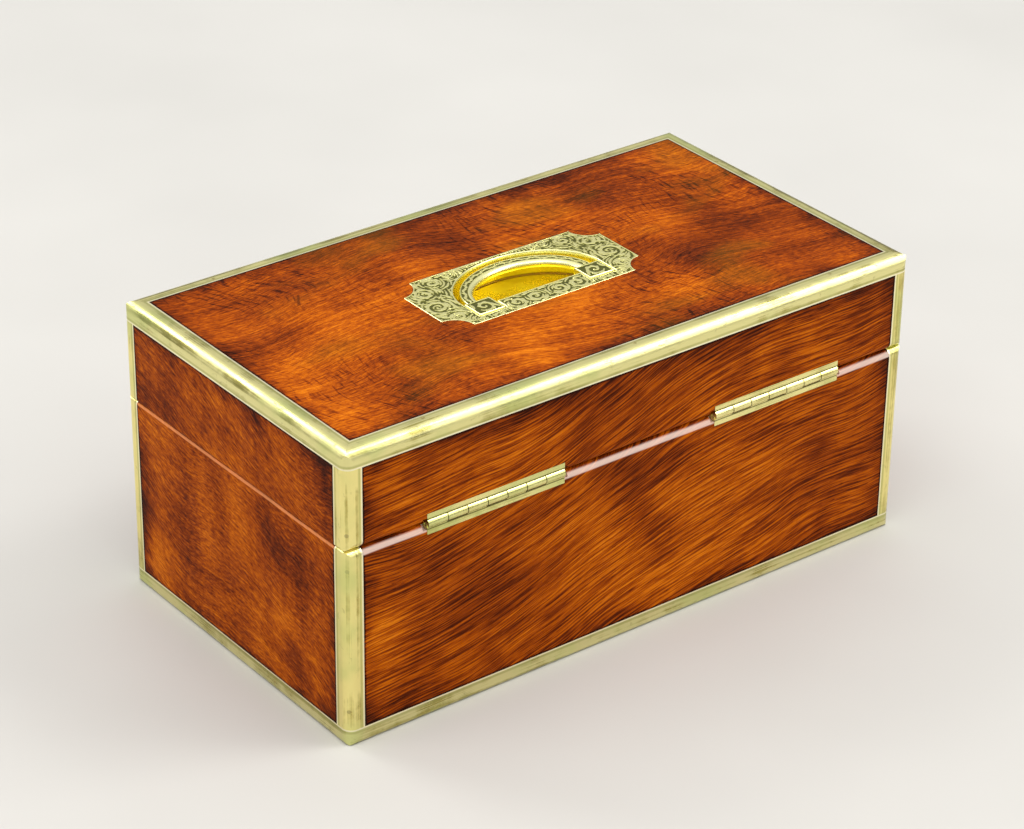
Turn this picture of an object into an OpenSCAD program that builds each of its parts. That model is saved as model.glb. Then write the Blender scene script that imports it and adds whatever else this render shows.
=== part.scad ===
// Needle case: a brass-bound wooden box with a hinged lid, a flush swing handle and a rack for
// upright packets of needles. The origin is on the ground under the middle of the box.
// +X is the user's right, +Y points to the hinged back, +Z is up.

/* [Case] */
// Length of the shut case over the brass
case_l = 200; // [185:1:230]
// Depth of the shut case over the brass
case_d = 109; // [104:0.5:130]
// Height of the shut case
case_h = 91.5; // [88:0.5:105]
// Height of the line where the lid meets the case
seam_z = 61.4; // [58:0.2:64]
// Thickness of the wooden walls
wall = 8; // [8:0.5:10]
// Thickness of the top panel where it fits between the lid's walls
panel_t = 8; // [7:0.5:9]

/* [Brass binding] */
// Width of the legs of the top and corner strips
strip_w = 5.5; // [4.5:0.1:6]
// Width of the legs of the foot strips
foot_w = 5; // [4:0.1:6]
// Thickness of the strips
strip_t = 1.6; // [1:0.1:1.8]
// Thickness of the corner straps
corner_t = 2.8; // [2.6:0.1:3]
// Radius of the top and upright corners
corner_r = 3; // [2:0.1:3.4]
// Radius of the foot edge
foot_r = 1.4; // [0.8:0.1:2]

/* [Hinges] */
// Length of each hinge
hinge_l = 46.6; // [38:0.1:50]
// Distance of each hinge's middle from the middle of the case
hinge_x = 50.3; // [45:0.1:54]
// Outer radius of the knuckles
knuckle_r = 1.5; // [1.3:0.05:1.55]
// Radius of the rounded edges along the back of the seam
back_round = 2.5; // [2:0.1:2.5]

/* [Handle] */
// Length of the handle plate
plate_l = 71; // [68:0.5:76]
// Width of the handle plate
plate_w = 31.5; // [30:0.5:34]
// Radius of the hollow corners of the plate
notch_r = 6.6; // [4:0.1:7.5]
// Half width of the recess
recess_a = 24.3; // [23:0.1:25]
// Height of the recess's arch
recess_b = 18; // [17:0.1:18.4]
// Depth of the recess under the top of the plate
recess_depth = 7.6; // [6.5:0.1:7.8]

/* [Packet rack] */
// Number of dividers that cross the rack
cross_count = 5; // [3:1:5]
// Thickness of the dividers
divider_t = 3; // [2:0.5:4]
// Height of the dividers
divider_h = 36; // [25:1:45]

/* [Lock] */
// Travel of the bolt
bolt_travel = 4; // [3:0.5:4]

/* [Hidden] */
$fn = 64;
part_gap = 0.2;                 // gap between lid and case at the seam
lid_z = seam_z + part_gap / 2;
case_z = seam_z - part_gap / 2;
hx = case_l / 2;
hy = case_d / 2;
inner_l = case_l - 2 * wall;
inner_d = case_d - 2 * wall;
reach = 1;                      // how far cutting shapes run past the surface they cut
arris = 0.9;                    // radius of the rounded edges along the front and ends of the seam
baize_t = 0.8;
felt_t = 1;
pin_r = 0.6;
pin_l = 5;
pin_inset = 1.4;                // distance of the upright pins from the inner edge of their strip
PIN_X = [-0.36, 0, 0.36];       // places of the upright pins, as shares of the length and depth
PIN_Y = [-0.25, 0.25];
foot_pin_rise = 6;              // heights of the corner pins over the foot strips and off the seam
case_pin_drop = 6;
lid_pin_rise = 5;

// Hinge sizes, measured from the axis of the knuckles.
axis_in = 0.8;                  // the axis lies this far inside the back face
axis_y = hy - axis_in;
leaf_t = 1.2;
leaf_reach = 6.9;
flange_in = 2.7;                // offset of the 45 degree back of the flange
flange_top = 3.2;
flange_out = 0.9;
stop_gap = 0.1;
knuckles = 7;
knuckle_gap = 0.28;
knuckle_clear = 0.15;
pocket_gap = 0.4;               // room round the knuckles in the wood, and past their ends
pocket_end = 1.3;
hinge_pin_r = 0.7;
hinge_bore_r = 0.74;
pitch = hinge_l / knuckles;
leaf_screw_y = -4.1;
leaf_screw_step = 16;
leaf_screw_l = 7;

// Handle sizes.
plate_t = 1.6;
arch_y = 4;                     // where the recess's arch meets its straight sides
near_edge = 7.6;                // straight edge of the recess between the heels
heel_x0 = 15;                   // pockets for the heels of the bail
heel_y1 = 12.4;
bowl_t = 0.8;
pivot_y = 8.2;
pivot_drop = 1.9;
pivot_z = case_h - pivot_drop;
pivot_r = 0.8;
pivot_bore_r = 0.85;
pivot_x0 = 16;
pivot_x1 = 27.6;
bail_drop = 0.8;
bail_t = 2.2;
bail_w = 4;
bail_side_gap = 2.1;
bail_apex_gap = 1;
heel_gap = 0.3;
heel_front = 3.9;
heel_back = 3.6;
heel_below = 2.2;
stud_x = 31.3;
stud_y = 5.5;
stud_r = 1.25;
nut_r = 2.7;
nut_h = 1.8;
nut_clear = 0.6;
hole_clear = 0.3;               // room for the bowl in the wood
lug_w = 4;
lug_h = 2.6;
liner_t = 2;
lining_t = 4;

// Lock sizes. The bolt slides along X between the two plates of the lock.
lock_plate_l = 44;
lock_box_l = 34;
lock_h = 24;
lock_box_h = lock_h - 1;
lock_back_t = 0.9;
lock_screw_l = 5;
escutcheon_r = 6;
escutcheon_t = 1.2;
lock_y0 = -hy + 2.3;            // outside of the lock's front plate
lock_y1 = -hy + wall;           // lock's back plate is flush with the inside of the wall
lock_mid_y = lock_y1 - 3;
keyhole_z = seam_z - 17;
key_r = 1.4;
key_slot_w = 1.6;
key_slot_l = 4.8;
key_clear = 0.3;                // room round the keyhole in the wood
link_l = 32;
link_w = 5.4;
link_t = 1.2;
link_screw_l = 6.5;
link_screw_step = 13;
staple_x = 7.5;
staple_t = 1.6;
staple_w = 3.6;
staple_h = 7;
eye_w = 1.9;
eye_h = 3;                      // window in each staple for the bolt
eye_rise = 3.2;                 // height of its middle over the staple's foot
staple_root = 0.6;              // how far a staple runs up into its plate
bolt_t = 1.3;

SIDES = ["front", "back", "left", "right"];
ENDS = ["left", "right"];
CORNERS = [[-1, -1], [1, -1], [-1, 1], [1, 1]];

// ---------- shared shapes ----------

// Square-on outline with different radii at the top and the foot, drawn in X (width) and Y (height).
module end_outline(w) {
    translate([-w / 2, foot_r]) square([w, case_h - foot_r - corner_r]);
    translate([-w / 2 + corner_r, case_h - corner_r]) square([w - 2 * corner_r, corner_r]);
    translate([-w / 2 + foot_r, 0]) square([w - 2 * foot_r, foot_r]);
    for (s = [-1, 1]) {
        translate([s * (w / 2 - corner_r), case_h - corner_r]) circle(corner_r);
        translate([s * (w / 2 - foot_r), foot_r]) circle(foot_r);
    }
}

// Outline of the case seen from above, with rounded upright corners.
module plan_outline() {
    square([case_l - 2 * corner_r, case_d], center = true);
    square([case_l, case_d - 2 * corner_r], center = true);
    for (c = CORNERS)
        translate([c[0] * (hx - corner_r), c[1] * (hy - corner_r)]) circle(corner_r);
}

// Whole outer form of the shut case.
module envelope() {
    intersection() {
        linear_extrude(case_h) plan_outline();
        rotate([90, 0, 0]) linear_extrude(case_d + 2, center = true) end_outline(case_l);
        rotate([90, 0, 90]) linear_extrude(case_l + 2, center = true) end_outline(case_d);
    }
}

// A profile drawn in (Y, Z) and run along X, and one drawn in (X, Z) and run along Y.
module along_x(length) rotate([90, 0, 90]) linear_extrude(length, center = true) children();
module along_y(length) rotate([90, 0, 0]) linear_extrude(length, center = true) children();

// Floor area that belongs to one side, with mitred ends.
module side_zone(side) {
    m = wall + 6;
    if (side == "back") mirror([0, 1]) side_zone("front");
    else if (side == "left") mirror([1, 0]) side_zone("right");
    else if (side == "front")
        polygon([[-hx - reach, -hy - reach], [hx + reach, -hy - reach],
                 [hx - m, -hy + m], [-hx + m, -hy + m]]);
    else
        polygon([[hx + reach, -hy - reach], [hx + reach, hy + reach],
                 [hx - m, hy - m], [hx - m, -hy + m]]);
}

// Area of one upright corner strap: an angle whose legs lie against two walls.
module corner_zone(c) {
    difference() {
        translate([c[0] * (hx - strip_w / 2), c[1] * (hy - strip_w / 2)])
            square(strip_w, center = true);
        translate([c[0] * (hx - corner_t - strip_w / 2), c[1] * (hy - corner_t - strip_w / 2)])
            square(strip_w, center = true);
    }
}

// Waste outside the two rounded edges that face each other across the seam.
module seam_waste(edge, r) {
    difference() {
        translate([edge - r, seam_z - r]) square([r + reach, 2 * r]);
        for (s = [-1, 1]) translate([edge - r, seam_z + s * r]) circle(r);
    }
}

// The edges are well rounded at the back, where the knuckles lie, and lightly elsewhere.
module seam_cuts() {
    along_x(case_l + 2) seam_waste(hy, back_round);
    mirror([0, 1, 0]) along_x(case_l + 2) seam_waste(hy, arris);
    for (s = [0, 1]) mirror([s, 0, 0]) along_y(case_d + 2) seam_waste(hx, arris);
}

// Flat area of one wall between its mitres, cut back where the corner straps lie.
module wall_plan(side) {
    difference() {
        intersection() {
            side_zone(side);
            difference() {
                square([case_l, case_d], center = true);
                square([inner_l, inner_d], center = true);
            }
        }
        for (c = CORNERS) corner_zone(c);
    }
}

// Flush pins driven through the straps at 45 degrees, cut level with the rounded corner.
module corner_pins(z) {
    intersection() {
        for (c = CORNERS)
            translate([c[0] * hx, c[1] * hy, z])
                rotate([0, 0, atan2(c[1], c[0])]) rotate([0, -90, 0])
                    cylinder(r = pin_r, h = pin_l + corner_r, $fn = 24);
        translate([0, 0, z - 2]) linear_extrude(4) plan_outline();
    }
}

// Positions of the upright pins in the flat legs of the top and foot strips.
module leg_pin_places(inset) {
    for (s = [-1, 1]) {
        for (x = PIN_X) translate([x * case_l, s * (hy - inset), 0]) children();
        for (y = PIN_Y) translate([s * (hx - inset), y * case_d, 0]) children();
    }
}

// Countersunk screw with its flat head at z = 0 and its point at +Z.
module screw(length, slot = true) {
    head_r = 1.45;
    slot_w = 0.4;
    slot_d = 0.6;
    shank_r = 0.75;
    difference() {
        union() {
            cylinder(r1 = head_r, r2 = shank_r, h = 0.75, $fn = 32);
            cylinder(r = shank_r, h = length, $fn = 32);
        }
        if (slot) cube([2 * head_r + 1, slot_w, slot_d], center = true);
    }
}

// ---------- case ----------

module case_wall(side) {
    color("saddlebrown") difference() {
        translate([0, 0, foot_w]) linear_extrude(case_z - foot_w) wall_plan(side);
        seam_cuts();
        case_edge_pins();
        if (side == "back") {
            for (s = [-1, 1]) hinge_pocket(s, -1);
            hinge_screws(-1, false);
        }
        if (side == "front") lock_mortise();
    }
}

module bottom_board() {
    color("sienna") difference() {
        translate([0, 0, foot_w / 2 + baize_t / 2])
            cube([case_l - 2 * strip_t, case_d - 2 * strip_t, foot_w - baize_t], center = true);
        difference() {
            cube([case_l, case_d, 2 * strip_t], center = true);
            cube([case_l - 2 * foot_w, case_d - 2 * foot_w, 2 * strip_t + 2], center = true);
        }
        case_edge_pins();
    }
}

// Angle strip around the foot.
module foot_strip(side) {
    color("khaki") difference() {
        intersection() {
            envelope();
            linear_extrude(foot_w) side_zone(side);
            difference() {
                cube([case_l + 2, case_d + 2, 2 * foot_w], center = true);
                translate([0, 0, strip_t])
                    linear_extrude(foot_w)
                        square([case_l - 2 * strip_t, case_d - 2 * strip_t], center = true);
                cube([case_l - 2 * foot_w, case_d - 2 * foot_w, 4 * foot_w], center = true);
            }
        }
        case_edge_pins();
    }
}

module case_corner(c) {
    color("darkkhaki") difference() {
        translate([0, 0, foot_w]) linear_extrude(case_z - foot_w)
            intersection() {
                plan_outline();
                corner_zone(c);
            }
        seam_cuts();
        case_edge_pins();
    }
}

module case_edge_pins() {
    color("goldenrod") {
        corner_pins(foot_w + foot_pin_rise);
        corner_pins(seam_z - case_pin_drop);
        leg_pin_places(foot_w - pin_inset) cylinder(r = pin_r, h = pin_l - 1, $fn = 24);
    }
}

module foot_baize() {
    color("darkgreen") linear_extrude(baize_t)
        square([case_l - 2 * foot_w, case_d - 2 * foot_w], center = true);
}

// ---------- packet rack ----------

module floor_felt() {
    color("darkred") translate([0, 0, foot_w]) linear_extrude(felt_t)
        square([inner_l, inner_d], center = true);
}

rack_z = foot_w + felt_t;
cross_step = inner_l / (cross_count + 1);
function cross_x(i) = -inner_l / 2 + i * cross_step;

// Slot for a lapped crossing: half the height, from the top or from the foot.
module lap_slot(x, upper) {
    translate([x, 0, rack_z + (upper ? 0.75 : 0.25) * divider_h])
        cube([divider_t, divider_t, divider_h / 2], center = true);
}

module long_divider() {
    color("peru") difference() {
        translate([0, 0, rack_z + divider_h / 2]) cube([inner_l, divider_t, divider_h], center = true);
        for (i = [1 : cross_count]) lap_slot(cross_x(i), true);
    }
}

module cross_divider(i) {
    if (i <= cross_count)
        color("peru") difference() {
            translate([cross_x(i), 0, rack_z + divider_h / 2])
                cube([divider_t, inner_d, divider_h], center = true);
            lap_slot(cross_x(i), false);
        }
}

// ---------- lock ----------

// Keyhole outline grown by g.
module keyhole(g = 0) {
    circle(key_r + g);
    translate([-key_slot_w / 2 - g, -key_slot_l - g]) square([key_slot_w + 2 * g, key_slot_l + g]);
}

module lock_screw_places() {
    for (x = [-1, 1], z = [4, lock_h - 4])
        translate([x * (lock_plate_l / 2 - 2.5), lock_y1, case_z - z]) rotate([90, 0, 0]) children();
}

module lock_screws() color("darkgoldenrod") lock_screw_places() screw(lock_screw_l);

// Space for the lock in the front wall: a seat for its back plate, a deeper box, the keyhole
// and the seat of the keyhole plate.
module lock_mortise() {
    translate([0, lock_y1 + (reach - lock_back_t) / 2, case_z - (lock_h - reach) / 2])
        cube([lock_plate_l, lock_back_t + reach, lock_h + reach], center = true);
    translate([0, (lock_y0 + lock_y1) / 2, case_z - (lock_box_h - reach) / 2])
        cube([lock_box_l, lock_y1 - lock_y0, lock_box_h + reach], center = true);
    translate([0, -hy + wall / 2, keyhole_z]) along_y(wall + 2) keyhole(key_clear);
    translate([0, -hy + (escutcheon_t - reach) / 2, keyhole_z])
        along_y(escutcheon_t + reach) circle(escutcheon_r);
    lock_screw_places() screw(lock_screw_l, false);
}

// Box lock: back plate, front plate, top plate with two slots for the staples, and end walls.
module lock_case() {
    t = 0.8;
    mid_y = (lock_y0 + t + lock_y1 - lock_back_t) / 2;
    color("burlywood") difference() {
        union() {
            translate([0, lock_y1 - lock_back_t / 2, case_z - lock_h / 2])
                cube([lock_plate_l, lock_back_t, lock_h], center = true);
            translate([0, (lock_y0 + lock_y1) / 2, case_z - lock_box_h / 2])
                cube([lock_box_l, lock_y1 - lock_y0, lock_box_h], center = true);
        }
        translate([0, mid_y, case_z - lock_box_h / 2])
            cube([lock_box_l - 2 * t, lock_y1 - lock_back_t - lock_y0 - t, lock_box_h - 2 * t],
                 center = true);
        for (s = [-1, 1])
            translate([s * staple_x, lock_mid_y, case_z])
                cube([staple_t + 0.9, staple_w + 1, 4], center = true);
        translate([0, lock_y0, keyhole_z]) along_y(3) keyhole();
        lock_screw_places() screw(lock_screw_l, false);
    }
}

// Sliding bolt: a bar with two upstands whose fingers pass through the staples.
module lock_bolt() {
    bar_z = case_z - 13.5;
    bar_h = 4;
    bar_l = 23;
    upstand_w = 2;
    finger_h = 2;
    finger_z = case_z - staple_h + 2.4;
    finger_gap = 0.4;
    notch_w = 4.5;              // notch under the bar for the key's bit
    notch_h = 2;
    finger_l = upstand_w + bolt_travel - finger_gap + 0.2;
    function upstand_x(s) = s * staple_x - staple_t / 2 - finger_gap - finger_l;
    color("silver") difference() {
        union() {
            translate([upstand_x(-1), lock_mid_y - bolt_t / 2, bar_z]) cube([bar_l, bolt_t, bar_h]);
            for (s = [-1, 1]) translate([upstand_x(s), lock_mid_y - bolt_t / 2, 0]) {
                translate([0, 0, bar_z]) cube([upstand_w, bolt_t, finger_z + finger_h - bar_z]);
                translate([0, 0, finger_z]) cube([finger_l, bolt_t, finger_h]);
            }
        }
        translate([-notch_w / 2, lock_mid_y - bolt_t, bar_z - reach])
            cube([notch_w, 2 * bolt_t, notch_h + reach]);
    }
}

// Round flush keyhole plate.
module keyhole_escutcheon() {
    color("khaki") difference() {
        translate([0, -hy + escutcheon_t / 2, keyhole_z]) along_y(escutcheon_t) circle(escutcheon_r);
        translate([0, -hy, keyhole_z]) along_y(4) keyhole();
    }
}

// ---------- lid ----------

module lid_wall(side) {
    color("saddlebrown") difference() {
        translate([0, 0, lid_z]) linear_extrude(case_h - strip_w - lid_z) wall_plan(side);
        seam_cuts();
        lid_edge_pins();
        if (side == "back") {
            for (s = [-1, 1]) hinge_pocket(s, 1);
            hinge_screws(1, false);
        }
        if (side == "front") {
            link_plate_body(0.001);
            link_plate_screws(false);
        }
    }
}

// Panel that lies over the walls and drops between them, rebated for the strips.
module top_panel() {
    color("chocolate") difference() {
        union() {
            translate([0, 0, case_h - strip_w]) linear_extrude(strip_w)
                square([case_l - 2 * strip_t, case_d - 2 * strip_t], center = true);
            translate([0, 0, case_h - panel_t]) linear_extrude(panel_t - strip_t)
                square([inner_l, inner_d], center = true);
        }
        translate([0, 0, case_h - strip_t]) linear_extrude(strip_t + 1) difference() {
            square([case_l, case_d], center = true);
            square([case_l - 2 * strip_w, case_d - 2 * strip_w], center = true);
        }
        lid_edge_pins();
        translate([0, 0, case_h - plate_t]) linear_extrude(plate_t + 1) plate_outline();
        translate([0, 0, case_h - panel_t - 1]) linear_extrude(panel_t + 2) handle_hole();
        handle_studs();
    }
}

// Angle strip around the top.
module top_strip(side) {
    color("khaki") difference() {
        intersection() {
            envelope();
            translate([0, 0, case_h - strip_w]) linear_extrude(strip_w) side_zone(side);
            difference() {
                translate([0, 0, case_h - strip_w]) linear_extrude(2 * strip_w)
                    square([case_l + 2, case_d + 2], center = true);
                translate([0, 0, case_h - strip_w - 1]) linear_extrude(strip_w - strip_t + 1)
                    square([case_l - 2 * strip_t, case_d - 2 * strip_t], center = true);
                translate([0, 0, case_h - 2 * strip_w]) linear_extrude(4 * strip_w)
                    square([case_l - 2 * strip_w, case_d - 2 * strip_w], center = true);
            }
        }
        lid_edge_pins();
    }
}

module lid_corner(c) {
    color("darkkhaki") difference() {
        translate([0, 0, lid_z]) linear_extrude(case_h - strip_w - lid_z)
            intersection() {
                plan_outline();
                corner_zone(c);
            }
        seam_cuts();
        lid_edge_pins();
    }
}

module lid_edge_pins() {
    color("goldenrod") {
        corner_pins(seam_z + lid_pin_rise);
        translate([0, 0, case_h - pin_l]) leg_pin_places(strip_w - pin_inset)
            cylinder(r = pin_r, h = pin_l, $fn = 24);
    }
}

// Board under the top panel that carries the padded lining, cut away around the handle's fixings.
module liner_board() {
    color("tan") translate([0, 0, case_h - panel_t - liner_t]) linear_extrude(liner_t) difference() {
        square([inner_l, inner_d], center = true);
        handle_hole();
        stud_places() circle(nut_r + nut_clear);
    }
}

module lid_lining() {
    color("plum") translate([0, 0, case_h - panel_t - liner_t - lining_t]) linear_extrude(lining_t)
        square([inner_l - 2 * part_gap, inner_d - 2 * part_gap], center = true);
}

// Plate let into the lid's front edge, with the two staples that enter the lock.
module link_plate_body(extra) {
    translate([0, lock_mid_y, lid_z + link_t / 2 - extra])
        cube([link_l, link_w, link_t + 2 * extra], center = true);
}

module link_plate() {
    color("burlywood") difference() {
        union() {
            link_plate_body(0);
            for (s = [-1, 1])
                translate([s * staple_x, lock_mid_y, lid_z - staple_h / 2 + staple_root / 2])
                    cube([staple_t, staple_w, staple_h + staple_root], center = true);
        }
        for (s = [-1, 1])
            translate([s * staple_x, lock_mid_y, lid_z - staple_h + eye_rise])
                cube([staple_t + 1, eye_w, eye_h], center = true);
        link_plate_screws(false);
    }
}

module link_plate_screws(slot = true) {
    color("darkgoldenrod") for (i = [-1, 0, 1])
        translate([i * link_screw_step, lock_mid_y, lid_z]) screw(link_screw_l, slot);
}

// ---------- hinges ----------

// Section of one leaf in (Y, Z) from the knuckle axis: a flat leaf let into the edge of the wall
// and a flange that lies between the rounded edges. The inner faces of the two flanges meet when the
// lid is a few degrees past upright.
module leaf_section() {
    z0 = part_gap / 2;
    polygon([[-leaf_reach, z0], [-leaf_reach, leaf_t], [leaf_t - flange_in, leaf_t],
             [flange_top - flange_in, flange_top], [flange_out, flange_top],
             [flange_out, flange_out + stop_gap], [z0 - stop_gap, z0]]);
}

module at_hinge(s) translate([s * hinge_x, axis_y, seam_z]) children();

module turned(up) if (up > 0) children(); else mirror([0, 0, 1]) children();

module knuckle_row(first, r, length) {
    for (i = [first : 2 : knuckles - 1])
        translate([-hinge_l / 2 + (i + 0.5) * pitch, 0, 0]) rotate([0, 90, 0])
            cylinder(r = r, h = length, center = true);
}

// Space for one leaf in the edge of a wall, with room for the ends of the knuckles.
module hinge_pocket(s, up) {
    at_hinge(s) {
        turned(up) along_x(hinge_l) leaf_section();
        rotate([0, 90, 0]) cylinder(r = knuckle_r + pocket_gap, h = hinge_l + 2 * pocket_end, center = true);
    }
}

module hinge_screw_places(s) {
    for (i = [-1, 0, 1]) at_hinge(s) translate([i * leaf_screw_step, leaf_screw_y, 0]) children();
}

module hinge_screws(up, slot = true) {
    color("darkgoldenrod") for (s = [-1, 1]) hinge_screw_places(s)
        turned(up) translate([0, 0, part_gap / 2]) screw(leaf_screw_l, slot);
}

// up is 1 for the lid's leaf, with three knuckles, and -1 for the case's leaf, with four.
module hinge_leaf(s, up) {
    own = up > 0 ? 1 : 0;
    color("gold") difference() {
        at_hinge(s) difference() {
            union() {
                turned(up) along_x(hinge_l) leaf_section();
                knuckle_row(own, knuckle_r, pitch - knuckle_gap);
            }
            knuckle_row(1 - own, knuckle_r + knuckle_clear, pitch + knuckle_gap);
            rotate([0, 90, 0]) cylinder(r = hinge_bore_r, h = hinge_l + 2, center = true, $fn = 32);
        }
        hinge_screws(up, false);
    }
}

module hinge_pin(s) {
    color("darkgoldenrod") at_hinge(s) rotate([0, 90, 0])
        cylinder(r = hinge_pin_r, h = hinge_l - 0.3, center = true, $fn = 32);
}

// ---------- handle ----------

module plate_outline() {
    difference() {
        square([plate_l, plate_w], center = true);
        for (c = CORNERS) translate([c[0] * plate_l / 2, c[1] * plate_w / 2]) circle(notch_r);
    }
}

// Half ellipse towards the front, from its straight edge at arch_y.
module arch(a, b) {
    steps = 48;
    polygon([for (i = [0 : steps]) [a * cos(180 * i / steps), arch_y - b * sin(180 * i / steps)]]);
}

// Outline of the recess, grown outwards by g: an arch, a straight near edge and two heel pockets.
module recess_outline(g = 0) {
    arch(recess_a + g, recess_b + g);
    translate([-heel_x0, arch_y - 0.5]) square([2 * heel_x0, near_edge + g - arch_y + 0.5]);
    for (s = [0, 1]) mirror([s, 0])
        translate([heel_x0 - g, arch_y - 0.5])
            square([recess_a - heel_x0 + 2 * g, heel_y1 + g - arch_y + 0.5]);
}

module handle_hole() {
    recess_outline(bowl_t + hole_clear);
    translate([0, pivot_y])
        square([2 * (pivot_x1 + hole_clear), lug_w + 2 * hole_clear], center = true);
}

module pivot_rods(r) {
    for (s = [0, 1]) mirror([s, 0, 0]) translate([pivot_x0, pivot_y, pivot_z]) rotate([0, 90, 0])
        cylinder(r = r, h = pivot_x1 - pivot_x0, $fn = 32);
}

module handle_plate() {
    lug_x0 = recess_a + bowl_t;
    color("khaki") difference() {
        union() {
            translate([0, 0, case_h - plate_t]) linear_extrude(plate_t) difference() {
                plate_outline();
                recess_outline();
            }
            for (s = [0, 1]) mirror([s, 0, 0])
                translate([lug_x0, pivot_y - lug_w / 2, case_h - plate_t - lug_h])
                    cube([pivot_x1 - lug_x0, lug_w, lug_h + plate_t / 2]);
        }
        pivot_rods(pivot_r);
    }
}

// Deep cup with upright walls and a flat floor. A block under each heel stops the bail upright.
module handle_bowl() {
    floor_z = case_h - recess_depth;
    block_top = pivot_z - heel_below - 0.15;
    block_y1 = pivot_y - heel_below - 0.1;
    color("gold") difference() {
        union() {
            translate([0, 0, floor_z - bowl_t]) linear_extrude(bowl_t) recess_outline(bowl_t);
            translate([0, 0, floor_z]) linear_extrude(recess_depth - plate_t) difference() {
                recess_outline(bowl_t);
                recess_outline();
            }
            for (s = [0, 1]) mirror([s, 0, 0])
                translate([heel_x0, arch_y + 0.1, floor_z])
                    cube([recess_a - heel_x0, block_y1 - arch_y - 0.1, block_top - floor_z]);
        }
        pivot_rods(pivot_r);
    }
}

// Flat arched ring with two square heels that turn on the pivot pins.
module handle_bail() {
    ring_z = case_h - bail_drop - bail_t;
    outer_a = recess_a - bail_side_gap;
    outer_b = recess_b - bail_apex_gap;
    heel_w = recess_a - heel_x0 - 2 * heel_gap;
    color("khaki") difference() {
        union() {
            translate([0, 0, ring_z]) linear_extrude(bail_t) {
                difference() {
                    arch(outer_a, outer_b);
                    arch(outer_a - bail_w, outer_b - bail_w);
                }
                for (s = [0, 1]) mirror([s, 0])
                    translate([outer_a - bail_w, arch_y - 0.2]) square([bail_w, 2]);
            }
            for (s = [0, 1]) mirror([s, 0, 0])
                translate([heel_x0 + heel_gap, pivot_y - heel_front, pivot_z - heel_below])
                    cube([heel_w, heel_front + heel_back, heel_below + pivot_drop]);
        }
        for (s = [0, 1]) mirror([s, 0, 0])
            translate([heel_x0 - 1, pivot_y, pivot_z]) rotate([0, 90, 0])
                cylinder(r = pivot_bore_r, h = recess_a - heel_x0 + 2, $fn = 32);
    }
}

module handle_pivot_pins() color("darkgoldenrod") pivot_rods(pivot_r);

module stud_places() for (sx = [-1, 1], sy = [-1, 1]) translate([sx * stud_x, sy * stud_y]) children();

module handle_studs() {
    color("burlywood") translate([0, 0, case_h - panel_t - nut_h])
        stud_places() cylinder(r = stud_r, h = panel_t + nut_h - plate_t, $fn = 32);
}

module handle_nuts() {
    color("silver") translate([0, 0, case_h - panel_t - nut_h]) stud_places() difference() {
        cylinder(r = nut_r, h = nut_h, $fn = 6);
        translate([0, 0, -1]) cylinder(r = stud_r, h = nut_h + 2, $fn = 32);
    }
}

// ---------- assembly ----------

for (side = SIDES) {
    case_wall(side);
    lid_wall(side);
    foot_strip(side);
    top_strip(side);
}
for (c = CORNERS) {
    corner_name = str(c[1] < 0 ? "front_" : "back_", c[0] < 0 ? "left" : "right");
    case_corner(c);
    lid_corner(c);
}
for (k = [0, 1]) {
    s = 2 * k - 1;
    hinge_leaf(s, 1);
    hinge_leaf(s, -1);
    hinge_pin(s);
}
for (i = [1 : 5]) cross_divider(i);
bottom_board();
case_edge_pins();
foot_baize();
floor_felt();
long_divider();
lock_case();
lock_bolt();
lock_screws();
keyhole_escutcheon();
top_panel();
lid_edge_pins();
liner_board();
lid_lining();
link_plate();
link_plate_screws();
hinge_screws(1);  // hinge_screws_lid
hinge_screws(-1);  // hinge_screws_case
handle_plate();
handle_bowl();
handle_bail();
handle_pivot_pins();
handle_studs();
handle_nuts();
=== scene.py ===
import math
from contextlib import contextmanager

import bmesh
import bpy
import numpy as np
from mathutils import Matrix, Vector


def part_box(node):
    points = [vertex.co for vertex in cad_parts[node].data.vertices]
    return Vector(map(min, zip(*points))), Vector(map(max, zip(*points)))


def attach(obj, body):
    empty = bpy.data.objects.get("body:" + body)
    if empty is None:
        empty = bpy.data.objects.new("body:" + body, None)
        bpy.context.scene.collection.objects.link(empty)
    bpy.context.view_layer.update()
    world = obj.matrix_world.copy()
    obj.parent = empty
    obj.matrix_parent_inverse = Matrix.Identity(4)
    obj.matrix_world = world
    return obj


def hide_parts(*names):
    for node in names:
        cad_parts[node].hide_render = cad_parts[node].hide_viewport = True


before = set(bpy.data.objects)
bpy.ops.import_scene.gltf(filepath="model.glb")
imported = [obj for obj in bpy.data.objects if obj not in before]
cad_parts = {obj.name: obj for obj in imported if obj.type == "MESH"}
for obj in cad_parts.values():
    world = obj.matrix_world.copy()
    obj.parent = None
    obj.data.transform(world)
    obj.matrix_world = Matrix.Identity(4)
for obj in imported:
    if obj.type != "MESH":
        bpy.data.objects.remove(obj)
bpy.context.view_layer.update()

MM = 0.001
MIRROR = np.array([-1.0, 1.0])

# ---- Driving sizes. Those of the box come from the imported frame; the rest repeat the design.


def node_box(name):
    """Lowest and highest corner of a CAD node at rest, as two numpy arrays in metres."""
    low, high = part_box(name)
    return np.array(low), np.array(high)


STRIP_LOW, STRIP_HIGH = node_box("top_strip_back")
HALF_L = node_box("top_strip_right")[1][0]
HALF_D = STRIP_HIGH[1]
TOP_Z = STRIP_HIGH[2]
STRIP_W = STRIP_HIGH[1] - STRIP_LOW[1]
FOOT_W = node_box("foot_strip_back")[1][2]
SEAM_Z = 0.5 * (node_box("lid_front_wall")[0][2] + node_box("case_front_wall")[1][2])
PLATE_LOW, PLATE_HIGH = node_box("handle_plate")
PLATE_HX, PLATE_HY = PLATE_HIGH[0], PLATE_HIGH[1]

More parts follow.
